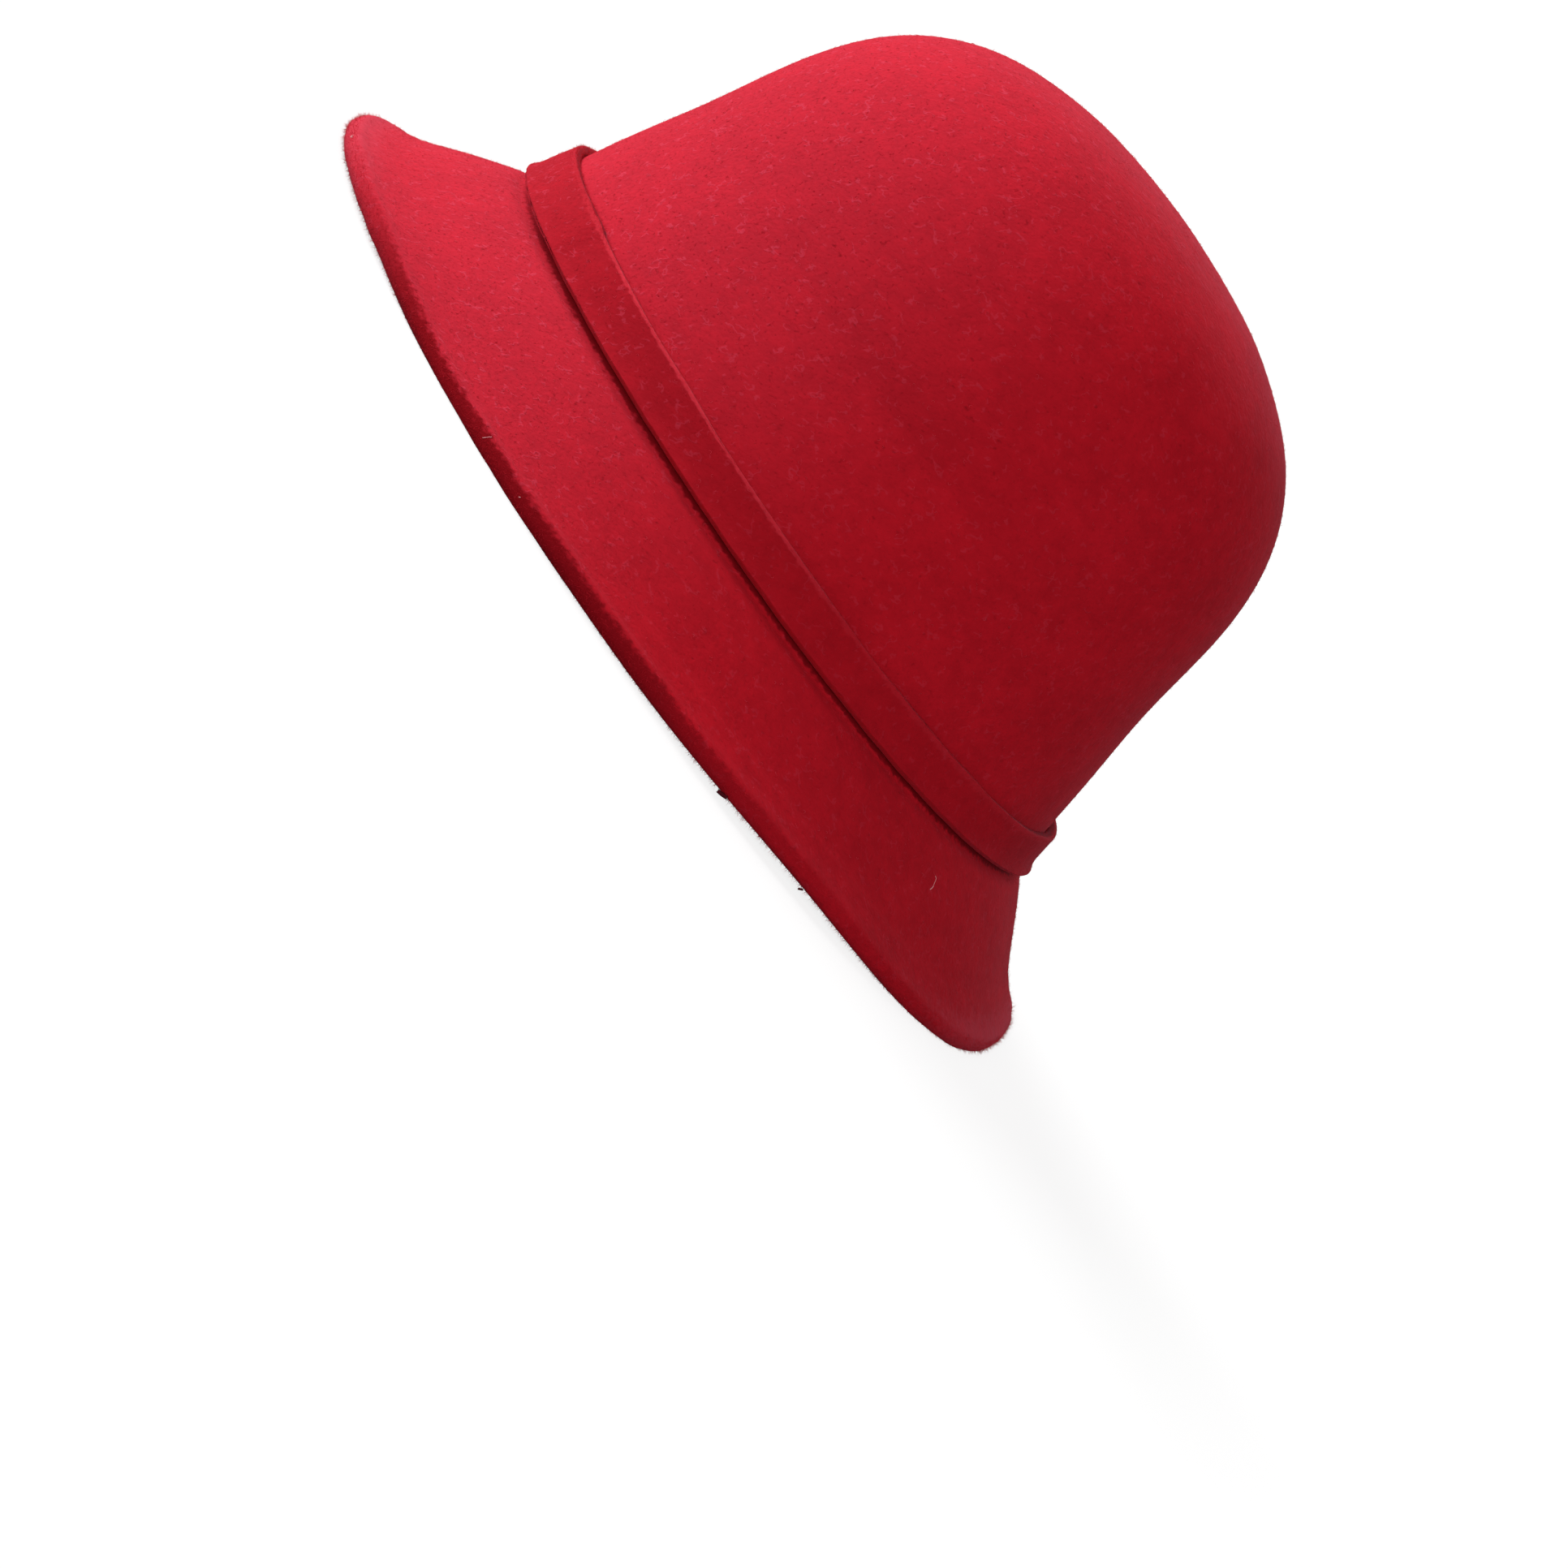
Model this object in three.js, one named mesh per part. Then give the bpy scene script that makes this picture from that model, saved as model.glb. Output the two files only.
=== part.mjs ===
// A felt cloche: a crown and brim blocked in one piece of wool felt, its brim edge turned
// under in a hem, and a plain felt band laid round the foot of the crown.
// Millimetres, +Z up. The hat stands on its brim on the plane z = 0 and faces -Y.
import * as THREE from "three";

// Head oval: the inside of the crown at the break, where the wall turns into the brim.
const HEAD_LENGTH = 194;
const HEAD_WIDTH = 164;
// How much narrower the oval is at the temples than behind the ears, as a share.
const HEAD_EGG = 0.04;

// One layer of felt. The hem is two layers.
const FELT = 2.4;
// Outside height of the crown above the break, and how far its top stands forward.
const CROWN_HEIGHT = 120;
const CROWN_LEAN = 1.6;

// Brim, from the break to its edge: how far it runs outwards, and how far it drops.
const BRIM_RUN = 32;
const BRIM_DROP = 25;
const HEM_DEPTH = 11;
// How far the edge is pressed flat where the hat stands on it.
const REST_PRESS = 0.8;

// Band: a strip of felt round the crown, with softened outer corners. Both its edges are a
// little higher in front than at the back, and its lower edge flares away from the crown.
const BAND_LOW = { height: 0.3, tip: 0.3 };
const BAND_HIGH = { height: 12.5, tip: 1.15 };
const BAND_FELT = 2.4;
const BAND_CORNER = 0.6;
const BAND_FLARE = 1.0;
const GAP = 0.3;

// Steps round the hat, between two rows of a table, and round the turned edge.
const AROUND = 64;
const ROW_STEPS = 2;
const EDGE_STEPS = 8;
// Halvings in the search for a height on a line, enough for a thousandth of a millimetre.
const HALVINGS = 30;

const RED_FELT = { color: 0xb3162a, roughness: 0.95, metalness: 0 };
const BAND_RED_FELT = { color: 0xa01022, roughness: 0.9, metalness: 0 };

// Crown sections from the top down to the break. rise is a share of CROWN_HEIGHT, reach a
// share of the oval's half length and half width, lean a share of CROWN_LEAN.
const CROWN_SECTIONS = [
  { rise: 1.0, reach: 0.0, lean: 1.2 },
  { rise: 0.9965, reach: 0.13, lean: 1.2 },
  { rise: 0.982, reach: 0.276, lean: 1.15 },
  { rise: 0.95, reach: 0.432, lean: 1.1 },
  { rise: 0.895, reach: 0.586, lean: 1.0 },
  { rise: 0.81, reach: 0.709, lean: 0.9 },
  { rise: 0.7, reach: 0.793, lean: 0.9 },
  { rise: 0.56, reach: 0.848, lean: 0.95 },
  { rise: 0.38, reach: 0.891, lean: 0.85 },
  { rise: 0.2, reach: 0.943, lean: 0.6 },
  { rise: 0.09, reach: 0.972, lean: 0.3 },
  { rise: 0.0, reach: 1.0, lean: 0.0 },
];

// Brim sections from the break out, as shares of the brim's own run and drop.
const BRIM_SECTIONS = [
  { out: 0.12, down: 0.09 },
  { out: 0.36, down: 0.355 },
  { out: 0.62, down: 0.665 },
  { out: 0.84, down: 0.89 },
  { out: 1.0, down: 1.0 },
];

// The brim by direction, in degrees from the front: shares of BRIM_RUN and BRIM_DROP.
// Its edge waves: lowest beside the temples and at the two back corners, and the hat
// stands on these four.
const BRIM_ROUND = [
  { from_front: 0, run: 1.07, drop: 0.94 },
  { from_front: 35, run: 0.98, drop: 0.94 },
  { from_front: 60, run: 0.95, drop: 1.015 },
  { from_front: 90, run: 0.945, drop: 0.97 },
  { from_front: 120, run: 0.97, drop: 0.9 },
  { from_front: 150, run: 1.03, drop: 0.995 },
  { from_front: 180, run: 0.92, drop: 0.945 },
];

// One column of BRIM_ROUND at a direction, eased between its rows and alike on both sides.
function brimShare(column, angle) {
  const degrees = THREE.MathUtils.radToDeg(Math.acos(Math.cos(angle)));
  const next = BRIM_ROUND.findIndex((row) => row.from_front > degrees);
  const b = BRIM_ROUND.at(next);
  const a = BRIM_ROUND.at(next - 1);
  if (next < 0) return b[column];
  const share = THREE.MathUtils.smoothstep(degrees, a.from_front, b.from_front);
  return THREE.MathUtils.lerp(a[column], b[column], share);
}

// A point on the head oval, scaled by reach and then pushed outwards. Angle 0 is the front.
function ovalPoint(angle, reach, push, lean, z) {
  const forward = Math.cos(angle);
  const sideways = Math.sin(angle) * (1 - HEAD_EGG * forward);
  const halfLength = (HEAD_LENGTH / 2 + FELT) * reach + push;
  const halfWidth = (HEAD_WIDTH / 2 + FELT) * reach + push;
  return new THREE.Vector3(halfWidth * sideways, -halfLength * forward - lean, z);
}

// The felt's outer line at one direction, from the top of the crown to the brim's edge.
// Heights count from the break.
function outerLine(angle) {
  const crown = CROWN_SECTIONS.map((row) =>
    ovalPoint(angle, row.reach, 0, row.lean * CROWN_LEAN, row.rise * CROWN_HEIGHT),
  );
  const run = brimShare("run", angle) * BRIM_RUN;
  const drop = brimShare("drop", angle) * BRIM_DROP;
  const brim = BRIM_SECTIONS.map((row) => ovalPoint(angle, 1, row.out * run, 0, -row.down * drop));
  return new THREE.CatmullRomCurve3([...crown, ...brim]);
}

const LINES = Array.from({ length: AROUND }, (_, i) => outerLine((i / AROUND) * 2 * Math.PI));
const lineAt = (i) => LINES[(i + AROUND) % AROUND];

// Rows of the two tables, counted from the top, and the place t of a row on a line: 0 at
// the top of the crown, 1 at the brim's edge.
const BREAK_ROW = CROWN_SECTIONS.length - 1;
const EDGE_ROW = BREAK_ROW + BRIM_SECTIONS.length;
const rowPlace = (row) => row / EDGE_ROW;

// Point, way down the line and outward normal at place t of line i.
function spot(i, t) {
  const point = lineAt(i).getPoint(t);
  const along = lineAt(i).getTangent(t);
  const around = lineAt(i + 1).getPoint(t).sub(lineAt(i - 1).getPoint(t));
  return { point, along, normal: along.clone().cross(around).normalize() };
}

// A point at a depth inside the felt's outer face; a negative depth stands off it.
function atDepth(i, t, depth) {
  const { point, normal } = spot(i, t);
  return point.addScaledVector(normal, -depth);
}

// The turned edge: a half circle, one felt thick in radius, beyond the end of the line.
function edgePoint(i, turn) {
  const { point, along, normal } = spot(i, 1);
  return point
    .addScaledVector(normal, FELT * (Math.cos(turn) - 1))
    .addScaledVector(along, FELT * Math.sin(turn));
}

// A closed surface through rings of points. Poles close it, or the last ring meets the first.
function surfaceThrough(rings, poles = []) {
  const positions = rings.flat().flatMap((p) => p.toArray());
  const triangles = [];
  const vertex = (ring, i) => (ring % rings.length) * AROUND + (i % AROUND);
  const strips = poles.length ? rings.length - 1 : rings.length;
  for (let ring = 0; ring < strips; ring++) {
    for (let i = 0; i < AROUND; i++) {
      const [a, b] = [vertex(ring, i), vertex(ring, i + 1)];
      const [c, d] = [vertex(ring + 1, i), vertex(ring + 1, i + 1)];
      triangles.push(a, c, b, b, c, d);
    }
  }
  poles.forEach((pole, end) => {
    const centre = positions.length / 3;
    positions.push(...pole.toArray());
    const ring = end ? rings.length - 1 : 0;
    for (let i = 0; i < AROUND; i++) {
      const [a, b] = [vertex(ring, i), vertex(ring, i + 1)];
      triangles.push(...(end ? [b, a, centre] : [a, b, centre]));
    }
  });
  const geometry = new THREE.BufferGeometry();
  geometry.setAttribute("position", new THREE.Float32BufferAttribute(positions, 3));
  geometry.setIndex(triangles);
  geometry.computeVertexNormals();
  return geometry;
}

const ringOf = (makePoint) => Array.from({ length: AROUND }, (_, i) => makePoint(i));

// Places from one row to another, with so many steps between rows.
function places(fromRow, toRow, steps) {
  const count = (toRow - fromRow) * steps;
  return Array.from({ length: count + 1 }, (_, k) => rowPlace(fromRow + k / steps));
}

// Place on line i that lies a distance up from the brim's edge.
function placeFromEdge(i, distance) {
  const line = lineAt(i);
  return line.getUtoTmapping(0, line.getLength() - distance);
}

// The lowest level that the turned edge reaches, less what resting presses flat.
function restLevel() {
  const turns = Array.from({ length: EDGE_STEPS + 1 }, (_, k) => (k / EDGE_STEPS) * Math.PI);
  const levels = LINES.flatMap((_, i) => turns.map((turn) => edgePoint(i, turn).z));
  return Math.min(...levels) + REST_PRESS;
}
const REST_LEVEL = restLevel();

function pressFlat(point) {
  point.z = Math.max(point.z, REST_LEVEL);
  return point;
}

// One shell: down the outside from the top, round the turned edge, back under the hem to
// its cut edge, and up the inside to the top.
function feltBody() {
  const outside = [rowPlace(1), ...places(2, EDGE_ROW, ROW_STEPS)];
  const turns = Array.from({ length: EDGE_STEPS }, (_, k) => ((k + 1) / EDGE_STEPS) * Math.PI);
  const inside = places(1, BREAK_ROW + 2, 1).reverse();
  const rings = [
    ...outside.map((t) => ringOf((i) => atDepth(i, t, 0))),
    ...turns.map((turn) => ringOf((i) => edgePoint(i, turn))),
    ringOf((i) => atDepth(i, placeFromEdge(i, HEM_DEPTH / 2), 2 * FELT)),
    ringOf((i) => atDepth(i, placeFromEdge(i, HEM_DEPTH), 2 * FELT)),
    ringOf((i) => atDepth(i, placeFromEdge(i, HEM_DEPTH), FELT)),
    ...inside.map((t) => ringOf((i) => atDepth(i, t, FELT))),
  ];
  rings.flat().forEach(pressFlat);
  const top = lineAt(0).getPoint(0);
  const topInside = top.clone().setZ(top.z - FELT);
  return surfaceThrough(rings, [top, topInside]);
}

// Place on line i at a height above the break, found by halving.
function placeAtHeight(i, height) {
  let [above, below] = [0, rowPlace(BREAK_ROW)];
  for (let halving = 0; halving < HALVINGS; halving++) {
    const middle = (above + below) / 2;
    if (lineAt(i).getPoint(middle).z > height) above = middle;
    else below = middle;
  }
  return below;
}

// The strip's section at one direction: out along its upper edge, down its face, in along
// its lower edge and up its back. The back stands off the crown by GAP and the flare.
function bandSection(angle) {
  const low = BAND_LOW.height + BAND_LOW.tip * Math.cos(angle);
  const high = BAND_HIGH.height + BAND_HIGH.tip * Math.cos(angle);
  const middle = (low + high) / 2;
  const quarter = (low + middle) / 2;
  const corner = Math.min(BAND_CORNER, BAND_FELT / 2);
  const bevel = corner * (1 - Math.SQRT1_2);
  const flare = (height) => BAND_FLARE * Math.max(0, (middle - height) / (middle - low)) ** 2;
  const section = [
    [high, 0],
    [high, BAND_FELT - corner],
    [high - bevel, BAND_FELT - bevel],
    [high - corner, BAND_FELT],
    [middle, BAND_FELT],
    [quarter, BAND_FELT],
    [low + corner, BAND_FELT],
    [low + bevel, BAND_FELT - bevel],
    [low, BAND_FELT - corner],
    [low, 0],
    [quarter, 0],
    [middle, 0],
  ];
  return section.map(([height, out]) => ({ height, depth: -(GAP + flare(height) + out) }));
}

function band() {
  const sections = Array.from({ length: AROUND }, (_, i) => bandSection((i / AROUND) * 2 * Math.PI));
  const ring = (row) =>
    ringOf((i) => atDepth(i, placeAtHeight(i, sections[i][row].height), sections[i][row].depth));
  return surfaceThrough(sections[0].map((_, row) => ring(row)));
}

function mesh(name, geometry, finish) {
  const made = new THREE.Mesh(geometry, new THREE.MeshStandardMaterial(finish));
  made.name = name;
  return made;
}

const hat = new THREE.Group();
const felt = mesh("felt_body", feltBody(), RED_FELT);
hat.add(felt, mesh("band", band(), BAND_RED_FELT));

// Stand the hat on z = 0 with the middle of its length over the origin.
felt.geometry.computeBoundingBox();
const { min, max } = felt.geometry.boundingBox;
hat.position.set(0, -(min.y + max.y) / 2, -REST_LEVEL);

export default hat;
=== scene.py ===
# %% [markdown]
# # A red felt cloche
# The real hat is one piece of wool felt, steamed over a block until it has a domed crown and
# a sloping brim. The brim's edge is turned under, and a strip of the same felt goes round the
# foot of the crown. The solid model already has these shapes at their real size. This script
# dresses it: smooth surfaces, the soft unevenness of hand blocked felt, the fibres that stand
# out of it, and the light of a plain studio.

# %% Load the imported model
import math

import bmesh
import bpy
import numpy as np
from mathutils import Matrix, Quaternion, Vector, noise


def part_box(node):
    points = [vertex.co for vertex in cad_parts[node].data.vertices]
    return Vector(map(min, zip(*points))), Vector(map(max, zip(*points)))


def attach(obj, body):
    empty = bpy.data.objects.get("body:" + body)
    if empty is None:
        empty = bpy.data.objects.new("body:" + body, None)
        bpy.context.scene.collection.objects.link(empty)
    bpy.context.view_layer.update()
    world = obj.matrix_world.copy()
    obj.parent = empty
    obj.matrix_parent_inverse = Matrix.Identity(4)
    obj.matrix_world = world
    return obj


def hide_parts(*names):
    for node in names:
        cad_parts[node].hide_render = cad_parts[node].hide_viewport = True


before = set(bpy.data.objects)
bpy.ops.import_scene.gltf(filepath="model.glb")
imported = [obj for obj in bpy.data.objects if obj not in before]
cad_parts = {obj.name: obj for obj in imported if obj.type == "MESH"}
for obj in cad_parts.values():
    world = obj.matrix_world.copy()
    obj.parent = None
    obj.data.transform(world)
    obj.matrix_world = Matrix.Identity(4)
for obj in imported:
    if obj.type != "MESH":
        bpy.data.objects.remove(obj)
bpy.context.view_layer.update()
scene = bpy.context.scene
MM = 0.001
print("nodes:", sorted(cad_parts))

# %% [markdown]
# ## Where things are on the hat
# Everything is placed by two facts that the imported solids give: the level of the break, where
# the crown turns into the brim, and the middle of the hat's oval. The crown's height above the
# break is known, and the band runs round the oval.

# %% The break and the middle of the oval
CROWN_HEIGHT = 120 * MM
crown_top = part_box("felt_body")[1].z
break_level = crown_top - CROWN_HEIGHT
band_low, band_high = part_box("band")
oval_middle = Vector((0, (band_low.y + band_high.y) / 2, break_level))
print(f"break {break_level / MM:.2f} mm up, middle of the oval at y {oval_middle.y / MM:.2f} mm")

# %% [markdown]
# ## Camera
# The photograph looks at the hat's left side, a little from above the band, and the hat in
# it is tipped far back. The hat here stands level on its brim, so the camera rolls instead:
# the picture is the same. Sizes in pixels belong to the photograph's own frame.

# %% Camera
PHOTO_SIDE_PX = 1932
FOCAL_LENGTH_PX = 7800
CAMERA_DISTANCE = 1.5
CAMERA_ABOVE_BAND = math.radians(8.5)
CAMERA_ROLL = math.radians(54.85)
AIM_BEHIND_MIDDLE = 51.5 * MM
AIM_BELOW_MIDDLE = 33.6 * MM
FARTHEST_SEEN = 1000


def make_camera():
    data = bpy.data.cameras.new("camera")
    data.lens = data.sensor_width * FOCAL_LENGTH_PX / PHOTO_SIDE_PX
    data.clip_end = FARTHEST_SEEN
    camera = bpy.data.objects.new("camera", data)
    scene.collection.objects.link(camera)
    to_camera = Vector((math.cos(CAMERA_ABOVE_BAND), 0, math.sin(CAMERA_ABOVE_BAND)))
    camera.location = oval_middle + to_camera * CAMERA_DISTANCE
    level = (-to_camera).to_track_quat("-Z", "Y")
    aim = oval_middle + level @ Vector((AIM_BEHIND_MIDDLE, -AIM_BELOW_MIDDLE, 0))
    turn = (-to_camera).rotation_difference(aim - camera.location)
    camera.rotation_mode = "QUATERNION"
    camera.rotation_quaternion = turn @ level @ Quaternion((0, 0, 1), CAMERA_ROLL)
    scene.camera = camera
    return camera


camera = make_camera()
print(f"lens {camera.data.lens:.1f} mm at {CAMERA_DISTANCE} m")

# %% [markdown]
# ## Studio
# The main light is one large soft source in front of the hat, so the front is bright and the
# back of the crown falls off into shade. A weaker one fills from the camera's side, two weak
# ones reach round from the far side, and the world adds a trace all round. A distant lamp
# with a wide spread is the simplest large soft source, and its strength doesn't change with
# the size of the scene.

# %% Lamps
scene.view_settings.view_transform = "Standard"
LAMPS = [
    # name, where it comes from (0 is the camera's side, -90 the front), height, spread, strength
    ("key", -105, 21, 55, 1.31),
    ("camera side fill", 6, 7, 80, 0.66),
    ("far side rim", 180, 40, 60, 0.15),
    ("far side low", 150, 18, 55, 0.20),
]


def make_lamp(name, comes_from, height, spread, strength):
    """A distant lamp. Strength 1 makes a white sheet that faces it exactly white."""
    around, up = math.radians(comes_from), math.radians(height)
    towards = Vector((math.cos(around) * math.cos(up), math.sin(around) * math.cos(up), math.sin(up)))
    data = bpy.data.lights.new(name, "SUN")
    data.energy = math.pi * strength
    data.angle = math.radians(spread)
    lamp = bpy.data.objects.new(name, data)
    lamp.rotation_euler = towards.to_track_quat("Z", "Y").to_euler()
    scene.collection.objects.link(lamp)


for lamp in LAMPS:
    make_lamp(*lamp)
print("lamps:", [lamp[0] for lamp in LAMPS])

# %% [markdown]
# ## Building node trees
# Materials, the world and Geometry Nodes are all trees of nodes. One helper makes a node, sets
# its options and fills its sockets with values or with links, and a second starts a group
# with named inputs and outputs. This keeps each tree as short to read as a formula.

# %% Helpers for node trees
def add_node(tree, kind, values=None, **settings):
    node = tree.nodes.new(kind)
    for name, value in settings.items():
        setattr(node, name, value)
    for socket, value in (values or {}).items():
        if isinstance(value, bpy.types.NodeSocket):
            tree.links.new(value, node.inputs[socket])
        else:
            node.inputs[socket].default_value = value
    return node


def math_node(tree, operation, *values):
    return add_node(tree, "ShaderNodeMath", dict(enumerate(values)), operation=operation).outputs[0]


def soft_ramp(tree, value, start, end):
    values = {0: value, 1: start, 2: end}
    return add_node(tree, "ShaderNodeMapRange", values, interpolation_type="SMOOTHSTEP").outputs[0]


def new_group(name, kind, inputs, outputs):
    group = bpy.data.node_groups.new(name, kind)
    for title, socket, value in inputs:
        made = group.interface.new_socket(title, in_out="INPUT", socket_type=socket)
        if value is not None:
            made.default_value = value
    for title, socket in outputs:
        group.interface.new_socket(title, in_out="OUTPUT", socket_type=socket)
    return group


print("node helpers ready")

# %% [markdown]
# ## Background and floor
# Both are almost white. Seen by the camera the floor glows a little, which keeps it pale, and
# seen by the hat it is darker, so that it doesn't light the brim from below. Light Path tells
# the two apart: one shader answers the camera, another one lights the scene.

# %% Background
WHITE = (1, 1, 1, 1)
BACKGROUND = 1.02
WORLD_FILL = 0.01


def camera_sees(tree, seen, otherwise):
    camera_ray = add_node(tree, "ShaderNodeLightPath").outputs["Is Camera Ray"]
    values = {0: camera_ray, 1: otherwise.outputs[0], 2: seen.outputs[0]}
    return add_node(tree, "ShaderNodeMixShader", values).outputs[0]


def make_world():
    world = bpy.data.worlds.new("studio")
    world.use_nodes = True
    scene.world = world
    tree = world.node_tree
    tree.nodes.clear()
    seen = add_node(tree, "ShaderNodeBackground", {"Color": WHITE, "Strength": BACKGROUND})
    fill = add_node(tree, "ShaderNodeBackground", {"Strength": WORLD_FILL})
    add_node(tree, "ShaderNodeOutputWorld", {"Surface": camera_sees(tree, seen, fill)})
    return world


print("background:", make_world().name)

# %% Floor
FLOOR_RADIUS = 30
FLOOR_SIDES = 64
FLOOR_SHADE = 0.26
FLOOR_GLOW = 0.84
FLOOR_SEEN_BY_HAT = 0.25


def grey(value):
    return (value, value, value, 1)


def floor_material():
    material = bpy.data.materials.new("studio floor")
    material.use_nodes = True
    tree = material.node_tree
    tree.nodes.clear()
    shade = add_node(tree, "ShaderNodeBsdfDiffuse", {"Color": grey(FLOOR_SHADE)})
    glow = add_node(tree, "ShaderNodeEmission", {"Strength": FLOOR_GLOW})
    seen = add_node(tree, "ShaderNodeAddShader", {0: shade.outputs[0], 1: glow.outputs[0]})
    dim = add_node(tree, "ShaderNodeBsdfDiffuse", {"Color": grey(FLOOR_SEEN_BY_HAT)})
    add_node(tree, "ShaderNodeOutputMaterial", {"Surface": camera_sees(tree, seen, dim)})
    return material


def make_floor():
    mesh = bpy.data.meshes.new("floor")
    bm = bmesh.new()
    bmesh.ops.create_circle(bm, cap_ends=True, radius=FLOOR_RADIUS, segments=FLOOR_SIDES)
    bm.to_mesh(mesh)
    bm.free()
    mesh.materials.append(floor_material())
    floor = bpy.data.objects.new("floor", mesh)
    scene.collection.objects.link(floor)


make_floor()
print("floor radius", FLOOR_RADIUS, "m")

# %% [markdown]
# ## Felt as a pattern
# Felt has no weave. Seen from an arm's length its surface is almost even: a mat of short
# fibres that is a little cloudy in colour, with small dark pits and, here and there, a curled
# fibre that catches the light. Grain and fibres lie slanted, as the felt was brushed. At the
# lit front of the hat the grain, pits and pale fibres are made stronger, partly the felt's
# texture and partly painted light, and a mask there carries a painted highlight. All of it is
# noise in space, so nothing stretches over the dome. The group gives masks and a height only,
# and each felt material mixes its own colours with them.

# %% The noises in felt
FELT_SIZES = {
    "Grain Size": 0.8 * MM,
    "Mottle Size": 3 * MM,
    "Cloud Size": 16 * MM,
    "Fibre Size": 2.4 * MM,
}
NOISES = {
    # which size it has, how many finer layers, a shift of its own, and whether brushing stretched it
    "grain": ("Grain Size", 2.0, 0.0, True),
    "mottle": ("Mottle Size", 2.0, 0.3, True),
    "cloud": ("Cloud Size", 2.0, 0.7, False),
    "pits": ("Grain Size", 1.0, 0.5, False),
    "fibre lines": ("Fibre Size", 2.0, 0.9, True),
    "fibre breaks": ("Fibre Size", 0.0, 0.2, False),
    "ragged": ("Grain Size", 1.0, 0.6, True),
}
TIMES_LARGER = {"ragged": 1.4}
BRUSHED_SLANT = math.radians(-20)
BRUSHED_STRETCH = 1.5


def brushed_place(tree, place):
    values = {"Vector": place, "Rotation": (BRUSHED_SLANT, 0, 0)}
    turned = add_node(tree, "ShaderNodeMapping", values).outputs[0]
    values = {"Vector": turned, "Scale": (1, 1 / BRUSHED_STRETCH, 1)}
    return add_node(tree, "ShaderNodeMapping", values).outputs[0]


def noise_of(tree, name, sizes, place, brushed):
    size, layers, shift, stretched = NOISES[name]
    where = brushed if stretched else place
    if shift:
        values = {0: where, 1: (shift, shift, shift)}
        where = add_node(tree, "ShaderNodeVectorMath", values, operation="ADD").outputs[0]
    width = sizes[size]
    if name in TIMES_LARGER:
        width = math_node(tree, "MULTIPLY", width, TIMES_LARGER[name])
    values = {"Vector": where, "Scale": math_node(tree, "DIVIDE", 1.0, width), "Detail": layers}
    return add_node(tree, "ShaderNodeTexNoise", values).outputs["Fac"]


print("noises:", list(NOISES))

# %% The felt group
FRONT_STARTS, FRONT_FULL = 0.03, -0.08
REST_OF_HAT = 0.35
NOISE_MIDDLE = 0.5
GROUND_BASE = 0.13
CLOUD_IN_GROUND, MOTTLE_IN_GROUND, GRAIN_IN_GROUND = 0.36, 0.38, 0.45
PITS_FROM, PITS_FULL = 0.62, 0.78
FIBRE_LINE_WIDTH = 0.05
FIBRES_FROM, FIBRES_FULL = 0.56, 0.66
MOTTLE_HEIGHT, PIT_HEIGHT, FIBRE_HEIGHT = 0.9, -0.3, 0.4
FELT_OUTPUTS = ("Ground", "Pits", "Fibres", "Front Highlight", "Ragged", "Height")


def make_felt_group():
    number = "NodeSocketFloat"
    inputs = [(title, number, size) for title, size in FELT_SIZES.items()]
    group = new_group("felt fibres", "ShaderNodeTree", inputs, [(title, number) for title in FELT_OUTPUTS])
    sizes = add_node(group, "NodeGroupInput").outputs
    place = add_node(group, "ShaderNodeTexCoord").outputs["Object"]
    brushed = brushed_place(group, place)

    def calculate(operation, *values):
        return math_node(group, operation, *values)

    def noise_value(name):
        return noise_of(group, name, sizes, place, brushed)

    along = add_node(group, "ShaderNodeSeparateXYZ", {0: place}).outputs["Y"]
    # the lit front of the hat: the mask of the painted highlight, which also strengthens grain, pits and
    # fibres there as partly painted light
    lit_front_share = soft_ramp(group, along, FRONT_STARTS, FRONT_FULL)
    front = calculate("MULTIPLY_ADD", lit_front_share, 1 - REST_OF_HAT, REST_OF_HAT)
    grain = noise_value("grain")
    mottle = noise_value("mottle")
    ground = calculate("MULTIPLY_ADD", noise_value("cloud"), CLOUD_IN_GROUND, GROUND_BASE)
    ground = calculate("MULTIPLY_ADD", mottle, MOTTLE_IN_GROUND, ground)
    grainy = calculate("MULTIPLY", calculate("SUBTRACT", grain, NOISE_MIDDLE), front)
    ground = calculate("MULTIPLY_ADD", grainy, GRAIN_IN_GROUND, ground)
    pits = calculate("MULTIPLY", soft_ramp(group, noise_value("pits"), PITS_FROM, PITS_FULL), front)
    from_line = calculate("ABSOLUTE", calculate("SUBTRACT", noise_value("fibre lines"), NOISE_MIDDLE))
    line = soft_ramp(group, from_line, FIBRE_LINE_WIDTH, 0.0)
    broken = soft_ramp(group, noise_value("fibre breaks"), FIBRES_FROM, FIBRES_FULL)
    fibres = calculate("MULTIPLY", calculate("MULTIPLY", line, broken), front)
    height = calculate("MULTIPLY_ADD", pits, PIT_HEIGHT, grain)
    height = calculate("MULTIPLY_ADD", mottle, MOTTLE_HEIGHT, height)
    height = calculate("MULTIPLY_ADD", fibres, FIBRE_HEIGHT, height)
    ragged = calculate("SUBTRACT", noise_value("ragged"), NOISE_MIDDLE)
    results = (ground, pits, fibres, lit_front_share, ragged, height)
    add_node(group, "NodeGroupOutput", dict(zip(FELT_OUTPUTS, results)))
    return group


felt_group = make_felt_group()
print("felt group nodes:", len(felt_group.nodes))
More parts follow.
